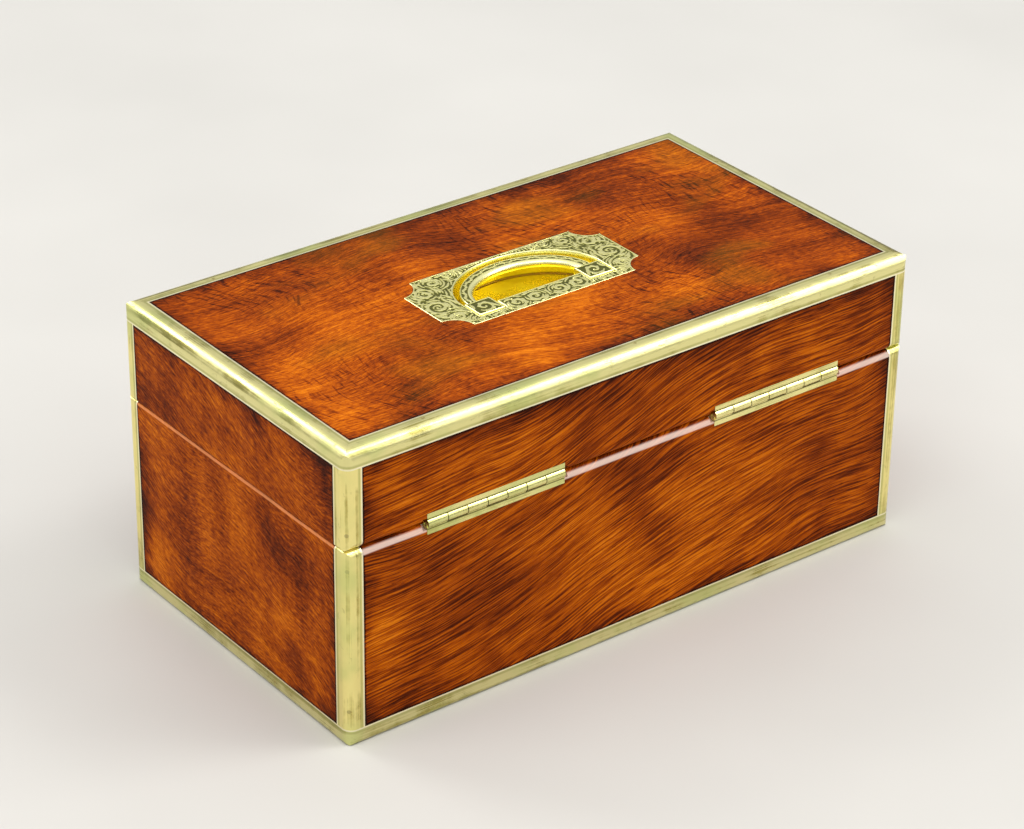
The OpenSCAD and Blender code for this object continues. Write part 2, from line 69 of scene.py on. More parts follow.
PLATE_T = 1.6 * MM
NOTCH_R = 6.6 * MM
ARCH_Y = 4.0 * MM          # where the arch of the recess meets its straight sides
ARCH_A, ARCH_B = 24.3 * MM, 18.0 * MM
NEAR_EDGE = 7.6 * MM       # straight edge of the recess between the heels
HEEL_X0, HEEL_Y1 = 15.0 * MM, 12.4 * MM
RECESS_DEPTH = 7.6 * MM
BOWL_T = 0.8 * MM
BAIL_DROP, BAIL_T, BAIL_W = 0.8 * MM, 2.2 * MM, 4.0 * MM
BAIL_SIDE_GAP, BAIL_APEX_GAP = 2.1 * MM, 1.0 * MM
PIVOT_Y, PIVOT_DROP = 8.2 * MM, 1.9 * MM
HEEL_GAP, HEEL_FRONT, HEEL_BACK, HEEL_BELOW = 0.3 * MM, 3.9 * MM, 3.6 * MM, 2.2 * MM
AXIS_IN, KNUCKLE_R = 0.8 * MM, 1.5 * MM
LUG_X1, LUG_HALF, LUG_DROP = 27.6 * MM, 2.0 * MM, 2.6 * MM     # the blocks that carry the bail's pivots

# ---- Camera

CAM_TARGET = Vector((0.0040, 0.0010, 0.0482))
CAM_AZIMUTH, CAM_ELEVATION, CAM_ROLL = 52.21, 28.98, 0.76
CAM_DISTANCE = 0.970
CAM_LENS = 117.3


def placed(name, data):
    """A new object in the scene."""
    thing = bpy.data.objects.new(name, data)
    bpy.context.scene.collection.objects.link(thing)
    return thing


def make_camera():
    azimuth, elevation = math.radians(CAM_AZIMUTH), math.radians(CAM_ELEVATION)
    back = Vector((math.cos(elevation) * math.cos(azimuth),
                   math.cos(elevation) * math.sin(azimuth),
                   math.sin(elevation)))
    data = bpy.data.cameras.new("camera")
    data.lens = CAM_LENS
    data.sensor_width = 36
    data.clip_start = 0.01
    camera = placed("camera", data)
    turn = back.to_track_quat("Z", "Y").to_matrix() @ Matrix.Rotation(math.radians(CAM_ROLL), 3, "Z")
    camera.matrix_world = Matrix.Translation(CAM_TARGET + back * CAM_DISTANCE) @ turn.to_4x4()
    bpy.context.scene.camera = camera
    bpy.context.scene.view_settings.view_transform = "Standard"


make_camera()

# ---- Material helpers


def srgb(r, g, b):
    """A colour given in 0-255 screen values, as linear RGBA."""
    def linear(c):
        c = c / 255
        return c / 12.92 if c <= 0.04045 else ((c + 0.055) / 1.055) ** 2.4
    return (linear(r), linear(g), linear(b), 1.0)


class Shader:
    """A new material, and short calls that add nodes to it and return their outputs."""

    def __init__(self, name):
        self.material = bpy.data.materials.new(name)
        self.material.use_nodes = True
        self.tree = self.material.node_tree
        self.tree.nodes.clear()
        self.output = self.tree.nodes.new("ShaderNodeOutputMaterial")
        self.bsdf = self.tree.nodes.new("ShaderNodeBsdfPrincipled")
        self.tree.links.new(self.bsdf.outputs[0], self.output.inputs[0])
        self.coords = self.tree.nodes.new("ShaderNodeTexCoord").outputs["Object"]
        split = self.tree.nodes.new("ShaderNodeSeparateXYZ")
        self.tree.links.new(self.coords, split.inputs[0])
        self.xyz = split.outputs

    def put(self, socket, value):
        if isinstance(value, bpy.types.NodeSocket):
            self.tree.links.new(value, socket)
        elif value is not None:
            socket.default_value = value

    def node(self, kind, **inputs):
        """A new node with its inputs set by name."""
        node = self.tree.nodes.new("ShaderNode" + kind)
        for key, value in inputs.items():
            self.put(node.inputs[key.replace("_", " ")], value)
        return node

    def surface(self, **inputs):
        for key, value in inputs.items():
            self.put(self.bsdf.inputs[key.replace("_", " ")], value)
        return self.material

    def math(self, operation, a, b=None):
        node = self.node("Math")
        node.operation = operation
        self.put(node.inputs[0], a)
        self.put(node.inputs[1], b)
        return node.outputs[0]

    def add(self, a, b):
        return self.math("ADD", a, b)

    def sub(self, a, b):
        return self.math("SUBTRACT", a, b)

    def mul(self, a, b):
        return self.math("MULTIPLY", a, b)

    def swing(self, value, amount):
        """A 0-1 value centred on zero and scaled."""
        return self.mul(self.sub(value, 0.5), amount)

    def total(self, first, *others):
        for other in others:
            first = self.add(first, other)
        return first

    def axis(self, letter):
        return self.xyz["XYZ".index(letter)]

    def scaled(self, factors):
        """The place on the object, with each axis scaled by its own factor."""
        return self.vector(*[self.mul(c, k) for c, k in zip(self.xyz, factors)])

    def vector(self, x, y, z):
        return self.node("CombineXYZ", X=x, Y=y, Z=z).outputs[0]

    def noise(self, vector, scale=1.0, detail=2.0, rough=0.5, distortion=0.0):
        return self.node("TexNoise", Vector=vector, Scale=scale, Detail=detail, Roughness=rough,
                         Distortion=distortion).outputs[0]

    def remap(self, value, low, high, to_low=0.0, to_high=1.0, smooth=True):
        node = self.node("MapRange", Value=value, From_Min=low, From_Max=high, To_Min=to_low, To_Max=to_high)
        node.interpolation_type = "SMOOTHSTEP" if smooth else "LINEAR"
        return node.outputs["Result"]

    def ramp(self, value, stops):
        node = self.node("ValToRGB")
        self.put(node.inputs[0], value)
        elements = node.color_ramp.elements
        while len(elements) < len(stops):
            elements.new(0.5)
        for element, (position, colour) in zip(elements, stops):
            element.position = position
            element.color = colour
        return node.outputs[0]

    def mix(self, factor, a, b):
        node = self.node("Mix")
        node.data_type = "RGBA"
        for socket, value in zip((node.inputs[0], node.inputs[6], node.inputs[7]), (factor, a, b)):
            self.put(socket, value)
        return node.outputs[2]

    def bump(self, height, distance, strength=1.0):
        return self.node("Bump", Strength=strength, Distance=distance, Height=height).outputs[0]

    def attribute(self, name):
        node = self.node("Attribute")
        node.attribute_name = name
        return node.outputs["Fac"]


# ---- Wood

WOOD_STOPS = [
    (0.00, (0.022, 0.0035, 0.0006, 1)),
    (0.22, (0.080, 0.0110, 0.0009, 1)),
    (0.42, (0.185, 0.0270, 0.0008, 1)),
    (0.60, (0.325, 0.0560, 0.0010, 1)),
    (0.78, (0.500, 0.1080, 0.0014, 1)),
    (1.00, (0.680, 0.1850, 0.0050, 1)),
]


def grain_flow(s, u, v, seed, slope, bend, sway):
    """Height across the grain. The lines tilt by slope, steepen round bend's place (height, middle, width)
    and sway by a slow noise."""
    flow = s.add(v, s.mul(u, slope))
    if bend:
        height, middle, width = bend
        flow = s.add(flow, s.mul(s.math("TANH", s.mul(s.sub(u, middle), 1 / width)), height))
    slow = s.noise(s.vector(u, s.mul(v, 0.7), seed), scale=15, detail=1.5)
    return s.add(flow, s.swing(slow, sway))


def edge_darkening(s, borders):
    """Darker wood along the brass: a thin black line and a broad uneven darkening."""
    shade = 0.0
    ragged = s.sub(s.noise(s.coords, scale=130, detail=3), 0.5)
    for axis, low, high in borders:
        w = s.axis(axis)
        for edge, sign in ((low, 1.0), (high, -1.0)):
            if edge is None:
                continue
            inward = s.mul(s.sub(w, edge), sign)
            broad = s.remap(s.add(inward, s.mul(ragged, 0.010)), -0.001, 0.0065, 0.20, 0.0)
            thin = s.remap(s.add(inward, s.mul(ragged, 0.0008)), 0.0003, 0.0008, 0.38, 0.0)
            shade = s.add(shade, s.add(broad, thin))
    return shade


def polished_wood(name, along, across, seed, slope=0.0, bend=None, sway=0.03, lines=0.9, streaks=0.6,
                  flecks=0.0, patches=1.0, ripple=0.0, bands=0.0, level=0.56, painted_shading_tilt=(0.0, 0.0), olive_reflection=0.0,
                  borders=(), rubbed_edge_and_highlight=None):
    """French-polished figured wood. along and across name the face's axes; borders are (axis, low, high).
    painted_shading_tilt is a painted shading gradient: how much the tone rises per metre along and across.
    rubbed_edge_and_highlight is a rubbed arris lightened partly as wear, partly as a painted highlight: (z,
    width, strength, colour, axis, how far out on that axis it starts)."""
    s = Shader(name)
    u, v = s.axis(along), s.axis(across)
    flow = grain_flow(s, u, v, seed, slope, bend, sway)

    def figure(shift, along_scale, across_scale, height=flow, **kind):
        place = s.vector(s.mul(u, along_scale), s.mul(height, across_scale), seed + shift)
        return s.noise(place, **kind)

    growth = figure(0, 55, 1700, detail=2.5, rough=0.6)
    growth = s.add(s.mul(growth, 0.45), s.remap(growth, 0.38, 0.60, 0.12, 0.42))
    fibre = figure(3, 190, 3400, detail=2, rough=0.6)
    broad = figure(7, 14, 420, detail=2)
    cloud = figure(11, 1, 1.3, v, scale=24, detail=2, rough=0.5, distortion=0.5)
    # The tone gradient across the face is painted shading.
    tone = s.total(level, s.mul(u, painted_shading_tilt[0]), s.mul(v, painted_shading_tilt[1]), s.swing(growth, lines),
                   s.swing(fibre, streaks), s.swing(broad, 0.50), s.swing(cloud, patches))
    if flecks:
        tone = s.add(tone, s.swing(figure(13, 430, 1500, detail=3, rough=0.65), flecks))
    if bands:
        tone = s.add(tone, s.swing(figure(17, 75, 16, v, detail=2.5, rough=0.5, distortion=0.4), bands))
    if ripple:
        drift = s.swing(figure(19, 1, 1, v, scale=26, detail=1), 0.03)
        cross = s.total(u, drift, s.mul(v, 0.2))
        strokes = s.noise(s.vector(s.mul(cross, 850), s.mul(v, 140), seed + 23), detail=2, rough=0.55)
        where = s.remap(figure(29, 1, 1, v, scale=22, detail=2), 0.40, 0.62)
        tone = s.sub(tone, s.mul(s.mul(s.remap(strokes, 0.50, 0.72), where), ripple))
    pore = s.remap(figure(31, 300, 3000, detail=1.5), 0.60, 0.72)
    tone = s.sub(s.sub(tone, s.mul(pore, 0.22)), edge_darkening(s, borders))
    colour = s.ramp(tone, WOOD_STOPS)
    # Painted reflection: olive-brown patches that stand for the surroundings mirrored in the polish.
    if olive_reflection:
        olive_reflection_patches = figure(37, 1, 1.6, v, scale=26, detail=2, distortion=0.4)
        colour = s.mix(s.remap(olive_reflection_patches, 0.50, 0.72, 0.0, olive_reflection), colour, (0.225, 0.105, 0.004, 1))
    # A rubbed arris, lightened partly as wear through the polish and partly as a painted highlight.
    if rubbed_edge_and_highlight:
        edge_z, width, strength, pale, axis, start = rubbed_edge_and_highlight
        gap = s.math("ABSOLUTE", s.sub(s.add(s.xyz[2], s.swing(cloud, 0.0006)), edge_z))
        rub_and_highlight = s.remap(gap, 0.35 * width, 0.75 * width, strength, 0.0)
        outer = s.math("GREATER_THAN", s.math("ABSOLUTE", s.axis(axis)), start)
        colour = s.mix(s.mul(rub_and_highlight, outer), colour, pale)
    wave = s.noise(s.coords, scale=60, detail=1.5)
    height = s.sub(s.add(s.mul(wave, 0.6), s.mul(fibre, 0.02)), s.mul(pore, 0.06))
    rough = s.remap(s.noise(s.coords, scale=80, detail=3), 0.3, 0.7, 0.34, 0.48)
    return s.surface(Base_Color=colour, Roughness=rough, Normal=s.bump(height, 0.0006, 0.6),
                     Specular_IOR_Level=0.01, Coat_Weight=0.07, Coat_Roughness=0.12)


def plain_wood(name, along):
    """Straight-grained inner wood with a thin satin finish."""
    s = Shader(name)
    stretched = s.scaled([6 if axis == along else 240 for axis in "XYZ"])
    lines = s.noise(stretched, detail=3, rough=0.6)
    pores = s.remap(s.noise(stretched, scale=7, detail=1), 0.60, 0.72)
    tone = s.sub(s.add(0.5, s.swing(lines, 0.8)), s.mul(pores, 0.2))
    colour = s.ramp(tone, [(0.1, srgb(72, 34, 14)), (0.5, srgb(128, 70, 32)), (0.9, srgb(168, 104, 54))])
    return s.surface(Base_Color=colour, Roughness=0.45, Normal=s.bump(s.sub(lines, pores), 0.0001),
                     Coat_Weight=0.15, Coat_Roughness=0.3)


# ---- Metal


def worn_brass(name, along, light=(0.80, 0.74, 0.33, 1), dark=(0.42, 0.37, 0.11, 1),
               rough=(0.26, 0.42), stain=0.35, edges=(), strength=1.0, crease=None):
    """Hand-polished brass: brushed along one axis, stained in spots, softly dented, with a painted highlight
    line along the given edges.
    crease is (y, z, radius) of a row of knuckles, with a darker ring round them."""
    s = Shader(name)
    stretch = [9 if axis == along else 1100 for axis in "XYZ"]
    brushed = s.noise(s.scaled(stretch), detail=3, rough=0.7)
    broad = s.noise(s.scaled([k * 0.35 for k in stretch]), detail=2)
    cloud = s.noise(s.coords, scale=75, detail=4, rough=0.6)
    spots = s.remap(s.noise(s.coords, scale=380, detail=3, rough=0.6, distortion=0.6), 0.62, 0.76)
    tone = s.total(s.mul(broad, 0.35), s.mul(cloud, 0.5), s.mul(brushed, 0.5))
    colour = s.ramp(s.remap(tone, 0.56, 0.74, smooth=False), [(0.0, dark), (0.55, light), (1.0, light)])
    greenish = s.remap(s.noise(s.coords, scale=48, detail=3), 0.48, 0.66, 0.0, 0.5)
    colour = s.mix(greenish, colour, (0.52, 0.60, 0.20, 1))
    colour = s.mix(s.mul(spots, stain), colour, (0.20, 0.15, 0.04, 1))
    # Painted highlight: a bright line on each edge's bevel, with a duller band just inside it.
    for axis, edge in edges:
        inward = s.math("ABSOLUTE", s.sub(s.math("ABSOLUTE", s.axis(axis)), edge))
        dull = s.mul(s.remap(inward, 0.0003, 0.0009, 0.0, 0.55), s.remap(inward, 0.0009, 0.0016, 1.0, 0.0))
        colour = s.mix(dull, colour, (0.36, 0.36, 0.10, 1))
        colour = s.mix(s.remap(inward, 0.0003, 0.0006, 0.75, 0.0), colour, (1.0, 0.93, 0.68, 1))
    if crease:
        # A thin ring just round the knuckles is coloured darker.
        y, z = s.sub(s.xyz[1], crease[0]), s.sub(s.xyz[2], crease[1])
        out = s.sub(s.math("SQRT", s.add(s.mul(y, y), s.mul(z, z))), crease[2])
        knuckle_darkening = s.mul(s.remap(out, 0.00008, 0.0002, 0.0, 0.9), s.remap(out, 0.0003, 0.0006, 1.0, 0.0))
        colour = s.mix(knuckle_darkening, colour, (0.13, 0.11, 0.03, 1))
    marks = s.noise(s.scaled((300, 260, 330)), detail=2, distortion=2.5)
    dents = s.noise(s.coords, scale=95, detail=2)
    height = s.total(s.mul(broad, 0.10), s.mul(marks, 0.14), s.mul(brushed, 0.10), dents)
    height = s.sub(height, s.mul(spots, 0.2))
    roughness = s.remap(s.add(s.mul(cloud, 0.6), s.mul(brushed, 0.4)), 0.35, 0.65, rough[0], rough[1])
    return s.surface(Base_Color=colour, Metallic=1.0, Roughness=roughness,
                     Normal=s.bump(height, 0.00025, strength))


HATCH_STEP = 0.75 * MM     # distance between the hatching lines on the engraved ground


def engraved_brass(name):
    """Brass whose cut ground is darkened; the mesh carries how deep each point is cut."""
    s = Shader(name)
    cut = s.attribute("cut")
    cloud = s.noise(s.coords, scale=240, detail=3, rough=0.6)
    bent = s.swing(s.noise(s.coords, scale=90, detail=1), 0.008)
    hatch = s.total(s.mul(s.xyz[0], 0.8), s.mul(s.xyz[1], 0.6), bent)
    lines = s.remap(s.math("SINE", s.mul(hatch, 2 * math.pi / HATCH_STEP)), -0.4, 0.8)
    shade = s.add(s.mul(cut, s.add(0.66, s.mul(lines, 0.34))), s.swing(cloud, 0.16))
    colour = s.ramp(shade, [(0.0, (1.0, 0.96, 0.46, 1)), (0.30, (0.90, 0.84, 0.30, 1)),
                            (0.62, (0.24, 0.24, 0.045, 1)), (1.0, (0.040, 0.040, 0.009, 1))])
    grain = s.noise(s.coords, scale=2600, detail=2)
    rough = s.remap(shade, 0.2, 0.9, 0.24, 0.50)
    return s.surface(Base_Color=colour, Metallic=1.0, Roughness=rough,
                     Normal=s.bump(s.add(grain, s.mul(cloud, 0.8)), 0.00004))


def polished_bowl_brass(name):
    """Clean yellow brass; the mesh marks the crease between wall and floor, which is coloured darker."""
    s = Shader(name)
    cloud = s.noise(s.coords, scale=120, detail=4, rough=0.6)
    swirl = s.noise(s.scaled((90, 420, 420)), detail=3)
    colour = s.ramp(s.add(s.mul(cloud, 0.6), s.mul(swirl, 0.4)),
                    [(0.30, (0.80, 0.58, 0.012, 1)), (0.55, (0.94, 0.78, 0.022, 1)),
                     (0.80, (1.0, 0.90, 0.07, 1))])
    # The marked crease between wall and floor is coloured dark brown.
    colour = s.mix(s.attribute("cut"), colour, (0.30, 0.17, 0.01, 1))
    rough = s.remap(cloud, 0.3, 0.7, 0.22, 0.36)
    return s.surface(Base_Color=colour, Metallic=0.75, Roughness=rough,
                     Normal=s.bump(s.add(s.mul(swirl, 0.2), cloud), 0.0002, 0.6))


def bright_steel(name):
    s = Shader(name)
    brushed = s.noise(s.scaled((60, 1500, 1500)), detail=3)
    colour = s.ramp(brushed, [(0.3, srgb(120, 118, 114)), (0.7, srgb(190, 188, 184))])
    rough = s.remap(brushed, 0.3, 0.7, 0.25, 0.42)
    return s.surface(Base_Color=colour, Metallic=1.0, Roughness=rough, Normal=s.bump(brushed, 0.00005))


# ---- Cloth


def felted(name, dark, light):
    """Short dense nap of felt or baize: matted fibres with a soft sheen."""
    s = Shader(name)
    fibres = s.noise(s.coords, scale=2400, detail=3, rough=0.7, distortion=1.2)
    matted = s.noise(s.coords, scale=320, detail=4, rough=0.65)
    cloud = s.noise(s.coords, scale=35, detail=2)
    tone = s.total(s.mul(matted, 0.35), s.mul(cloud, 0.3), s.mul(fibres, 0.45))
    colour = s.ramp(tone, [(0.35, dark), (0.70, light)])
    return s.surface(Base_Color=colour, Roughness=0.95, Sheen_Weight=0.6, Sheen_Roughness=0.45,
                     Specular_IOR_Level=0.15, Normal=s.bump(s.add(fibres, matted), 0.0003))


def silk_velvet(name, dark, light):
    """Padded velvet: a fine pile that brightens where it is pressed."""
    s = Shader(name)
    pile = s.noise(s.coords, scale=3200, detail=2, rough=0.7)
    crushed = s.noise(s.coords, scale=110, detail=4, rough=0.6, distortion=1.0)
    tone = s.add(s.mul(pile, 0.50), s.mul(crushed, 0.5))
    colour = s.ramp(tone, [(0.38, dark), (0.68, light)])
    return s.surface(Base_Color=colour, Roughness=0.8, Sheen_Weight=1.0, Sheen_Roughness=0.28,
                     Specular_IOR_Level=0.2, Normal=s.bump(s.add(pile, crushed), 0.0004))


# ---- Mesh helpers


def make_piece(name, vertices, faces, material, cut=None):
    """A smooth-shaded object. cut is a number per vertex that the material can read."""
    mesh = bpy.data.meshes.new(name)
    mesh.from_pydata([tuple(v) for v in vertices], [], faces)
    mesh.validate()
    mesh.polygons.foreach_set("use_smooth", [True] * len(mesh.polygons))
    if cut is not None:
        layer = mesh.attributes.new("cut", "FLOAT", "POINT")
        layer.data.foreach_set("value", np.asarray(cut, dtype=np.float32))
    mesh.materials.append(material)
    mesh.update()
    return placed(name, mesh)


@contextmanager
def editing(piece):
    """The piece's mesh as a bmesh, written back at the end."""
    bm = bmesh.new()
    bm.from_mesh(piece.data)
    yield bm
    bm.to_mesh(piece.data)
    bm.free()


def fix_normals(piece):
    """Turns every shell of the piece to face outwards."""
    with editing(piece) as bm:
        bmesh.ops.recalc_face_normals(bm, faces=bm.faces)
    piece.data.update()


def sharpen(piece, degrees):
    """Keeps edges steeper than the angle crisp while the rest is shaded smooth."""
    piece.data.set_sharp_from_angle(angle=math.radians(degrees))


def ring_faces(rows, columns, closed_rows=False):
    """Quads of a grid whose columns run round a closed loop. closed_rows joins the last row to the first."""
    faces = []
    for r in range(rows if closed_rows else rows - 1):
        for c in range(columns):
            a, b = r * columns + c, r * columns + (c + 1) % columns
            n = ((r + 1) % rows) * columns
            faces.append((a, b, n + (c + 1) % columns, n + c))
    return faces


def grid_faces(nx, ny):
    """Quads of a grid of nx by ny cells, and the grid's border points in order round it."""
    starts = [j * (nx + 1) + i for j in range(ny) for i in range(nx)]
    quads = [(a, a + 1, a + nx + 2, a + nx + 1) for a in starts]
    rim = list(range(nx + 1)) + [j * (nx + 1) + nx for j in range(1, ny + 1)]
    rim += [ny * (nx + 1) + i for i in range(nx - 1, -1, -1)] + [j * (nx + 1) for j in range(ny - 1, 0, -1)]
    return quads, rim


def joined(vertices, faces, block):
    """A mesh with one more separate block in it."""
    more, block_faces = block
    shifted = [tuple(i + len(vertices) for i in face) for face in block_faces]
    return np.vstack([vertices, more]), faces + shifted


def edge_distance(points, low, high):
    """Distance of each point to the nearest side of an upright rectangle it lies in."""
    return np.minimum(np.minimum(points[:, 0] - low[0], high[0] - points[:, 0]),
                      np.minimum(points[:, 1] - low[1], high[1] - points[:, 1]))


def whole_loop(half, end):
    """A closed loop from its +X half, which starts on the middle line, and the point that ends it there."""
    return np.vstack([half, [end], (half * MIRROR)[:0:-1]])


def resample(points, count):
    """count points at equal steps along a polyline, without its last point."""
    points = np.asarray(points, float)
    steps = np.r_[0, np.cumsum(np.hypot(*np.diff(points, axis=0).T))]
    at = np.linspace(0, steps[-1], count + 1)[:-1]
    return np.c_[np.interp(at, steps, points[:, 0]), np.interp(at, steps, points[:, 1])]


def arch_points(a, b, start, end, steps=80):
    """Points of the recess's arch from one angle to another, in degrees from +X towards the front."""
    t = np.radians(np.linspace(start, end, steps))
    return np.c_[a * np.cos(t), ARCH_Y - b * np.sin(t)]


def distance_to_path(points, path):
    """Distance from each point to a polyline, and the share of the polyline (0 to 1) at its nearest place."""
    best = np.full(len(points), 1e9)
    along = np.zeros(len(points))
    count = len(path) - 1
    for i in range(count):
        a, d = path[i], path[i + 1] - path[i]
        length = max(d @ d, 1e-18)
        t = np.clip(((points - a) @ d) / length, 0, 1)
        gap = np.hypot(*(points - a - t[:, None] * d).T)
        closer = gap < best
        best[closer] = gap[closer]
        along[closer] = ((i + t) / count)[closer]
    return best, along


# ---- Engraved scrolls

GROUND_DEPTH, VEIN_DEPTH = 0.14 * MM, 0.05 * MM


def leaf_stroke(start, heading, length, curl, width):
    """A tapering curved leaf: starts at a point, sets off along heading and curls by an angle."""
    steps = 9
    points, angle = [np.array(start, float)], heading
    for _ in range(steps):
        angle += curl / steps
        points.append(points[-1] + length / steps * np.array([math.cos(angle), math.sin(angle)]))
    return np.array(points), width


def scroll(centre, radius, start, turn, turns=1.35, leaves=7, width=0.52 * MM):
    """A spiral stem with leaves breaking away from its outer side. turn is 1 or -1."""
    strokes = []
    t = np.linspace(0, 1, 40)
    angles = start + turn * t * turns * 2 * math.pi
    radii = radius * (1 - t) ** 0.85 + 0.10 * radius
    spiral = np.c_[centre[0] + radii * np.cos(angles), centre[1] + radii * np.sin(angles)]
    strokes.append((spiral, width))
    for k in range(leaves):
        i = int(2 + k * 26 / max(leaves, 1))
        outward = angles[i] + turn * 0.5
        length = radius * (0.62 - 0.05 * k)
        strokes.append(leaf_stroke(spiral[i], outward, length, turn * 1.9, width * 0.95))
        if k % 2 == 0:
            inward = angles[i] + math.pi - turn * 0.7
            strokes.append(leaf_stroke(spiral[i], inward, length * 0.5, -turn * 1.2, width * 0.7))
    return strokes


def mirrored(strokes):
    return strokes + [(path * MIRROR, width) for path, width in strokes]


# Scrolls of the plate's +X half: centre and radius in mm, first angle, turn, leaves, line width in mm.
PLATE_SCROLLS = [
    (30.6, 1.2, 3.7, 1.9, -1, 8, 0.45), (29.4, -7.4, 2.7, -2.4, 1, 7, 0.45),
    (29.2, 9.6, 2.5, 2.6, -1, 6, 0.45), (23.6, -12.0, 2.2, -0.4, -1, 6, 0.45),
    (17.2, -13.6, 1.3, 2.8, 1, 4, 0.34), (10.7, 11.8, 2.5, 0.4, 1, 7, 0.45),
    (4.3, 11.5, 2.1, 2.9, -1, 6, 0.45), (24.6, 14.0, 1.0, 1.2, 1, 3, 0.30),
    (18.0, 14.1, 0.9, 2.2, -1, 3, 0.30),
]

# Single leaves between them: start in mm, heading, length in mm, curl.
PLATE_LEAVES = [
    (26.6, -3.0, 1.2, 4.2, 0.9), (33.9, -3.5, -1.9, 4.0, -1.0), (33.8, 6.6, 2.1, 3.4, 0.9),
    (26.2, 4.2, -1.2, 4.4, -0.8), (27.2, 13.6, -0.7, 3.4, 1.1), (26.4, -13.9, 0.6, 3.2, -1.2),
    (20.6, -14.4, 3.0, 3.2, 0.8), (14.6, -14.7, 3.1, 3.4, 0.5), (10.2, -15.0, 3.1, 2.8, 0.4),
    (6.2, -15.1, 3.1, 2.6, 0.3), (13.7, 14.4, 2.4, 3.0, 1.1), (13.6, 9.2, -2.6, 2.8, -1.0),
    (7.6, 14.6, 3.3, 2.8, -1.2), (7.3, 8.9, 2.9, 2.6, 1.2), (1.4, 14.5, 2.2, 2.4, 1.3),
    (1.3, 8.9, -2.3, 2.2, -1.2), (21.4, 14.2, 3.0, 2.4, 0.8), (25.7, -9.2, 2.2, 2.6, -1.0),
]


def plate_strokes():
    """Scrollwork for the plate, drawn on its +X half and mirrored."""
    half = []
    for x, y, radius, start, turn, leaves, width in PLATE_SCROLLS:
        half += scroll((x * MM, y * MM), radius * MM, start, turn, leaves=leaves, width=width * MM)
    for x, y, heading, length, curl in PLATE_LEAVES:
        half.append(leaf_stroke((x * MM, y * MM), heading, length * MM, curl, 0.42 * MM))
    return mirrored(half)


def bail_strokes():
    """A running stem of leaves round the arch of the bail, and a scroll on each heel."""
    m = MM
    strokes = []
    a, b = ARCH_A - BAIL_SIDE_GAP - 1.45 * m, ARCH_B - BAIL_APEX_GAP - 1.45 * m
    angles = np.linspace(4, 176, 23)
    for k, degrees in enumerate(angles):
        t = math.radians(degrees)
        here = np.array([a * math.cos(t), ARCH_Y - b * math.sin(t)])
        tangent = math.atan2(-b * math.cos(t), -a * math.sin(t))
        side = 1 if k % 2 else -1
        strokes.append(leaf_stroke(here, tangent + side * 0.9, 2.5 * m, -side * 2.2, 0.36 * m))
        strokes.append(leaf_stroke(here, tangent + math.pi - side * 0.7, 1.6 * m, side * 1.8, 0.28 * m))
    heel_x = 0.5 * (HEEL_X0 + ARCH_A)
    heel_y = PIVOT_Y + 0.5 * (HEEL_BACK - HEEL_FRONT)
    heel = scroll((heel_x, heel_y), 2.6 * m, 0.6, 1, leaves=6, width=0.40 * m)
    heel.append(leaf_stroke((heel_x + 3.2 * m, heel_y - 2.6 * m), 1.8, 3.2 * m, -0.9, 0.4 * m))
    heel.append(leaf_stroke((heel_x - 3.4 * m, heel_y + 2.4 * m), -1.5, 3.2 * m, 0.9, 0.4 * m))
    return strokes + mirrored(heel)


def stroke_gaps(points, strokes, ratio=None, gaps=None):
    """For each point, the distance to the nearest leaf as a share of the leaf's half width, and in metres
    from the leaf's edge. Given arrays are brought up to date in place."""
    ratio = np.full(len(points), 9.0) if ratio is None else ratio
    gaps = np.full(len(points), 1.0) if gaps is None else gaps
    for path, width in strokes:
        low, high = path.min(0) - 5 * width, path.max(0) + 5 * width
        near = np.where(np.all((points > low) & (points < high), axis=1))[0]
        if not len(near):
            continue
        gap, along = distance_to_path(points[near], path)
        local = width * (0.30 + 0.70 * np.sin(np.pi * np.clip(along * 0.88 + 0.08, 0, 1)))
        ratio[near] = np.minimum(ratio[near], gap / local)
        gaps[near] = np.minimum(gaps[near], gap - local)
    return ratio, gaps


def filling_leaves(points, border, strokes, gap=0.58 * MM, seed=5):
    """Slender leaves for the bare places. Each one bends round the nearest scroll."""
    rng = np.random.default_rng(seed)
    centres = np.array([(x, y) for x, y, *rest in PLATE_SCROLLS]) * MM
    ratio, gaps = stroke_gaps(points, strokes)
    more = []
    for i in rng.permutation(len(points)):
        x, y = points[i]
        if x < 0.3 * MM or gaps[i] < gap or border[i] < 0.7 * MM:
            continue
        spokes = points[i] - centres
        radii = np.hypot(*spokes.T)
        k = radii.argmin()
        length = rng.uniform(2.2, 4.6) * MM
        heading = math.atan2(spokes[k][1], spokes[k][0]) + math.pi / 2
        leaf = mirrored([leaf_stroke((x, y), heading, length, min(length / radii[k], 2.4), 0.25 * MM)])
        more += leaf
        stroke_gaps(points, leaf, ratio, gaps)
    return more


def engrave(points, strokes, border):
    """Depth cut at each point and its darkness from 0 to 1. Leaves stand up from a ground that is cut away.
    border is the distance to the nearest plain edge, which stays bright."""
    ratio, _ = stroke_gaps(points, strokes)
    ground = np.clip((ratio - 0.80) / 0.50, 0, 1)
    ground = ground * ground * (3 - 2 * ground)
    vein = np.exp(-(ratio / 0.24) ** 2)
    depth = ground * GROUND_DEPTH + vein * VEIN_DEPTH
    cut = np.clip(ground + 0.45 * vein, 0, 1)
    inside = np.clip((border - 0.40 * MM) / (0.20 * MM), 0, 1)
    return depth * inside, cut * inside


def rounded_drop(border, radius):
    """How far a surface falls near an edge that is rounded to a radius."""
    x = np.clip(1 - border / radius, 0, 1)
    return radius * (1 - np.sqrt(1 - x * x))


# ---- Handle


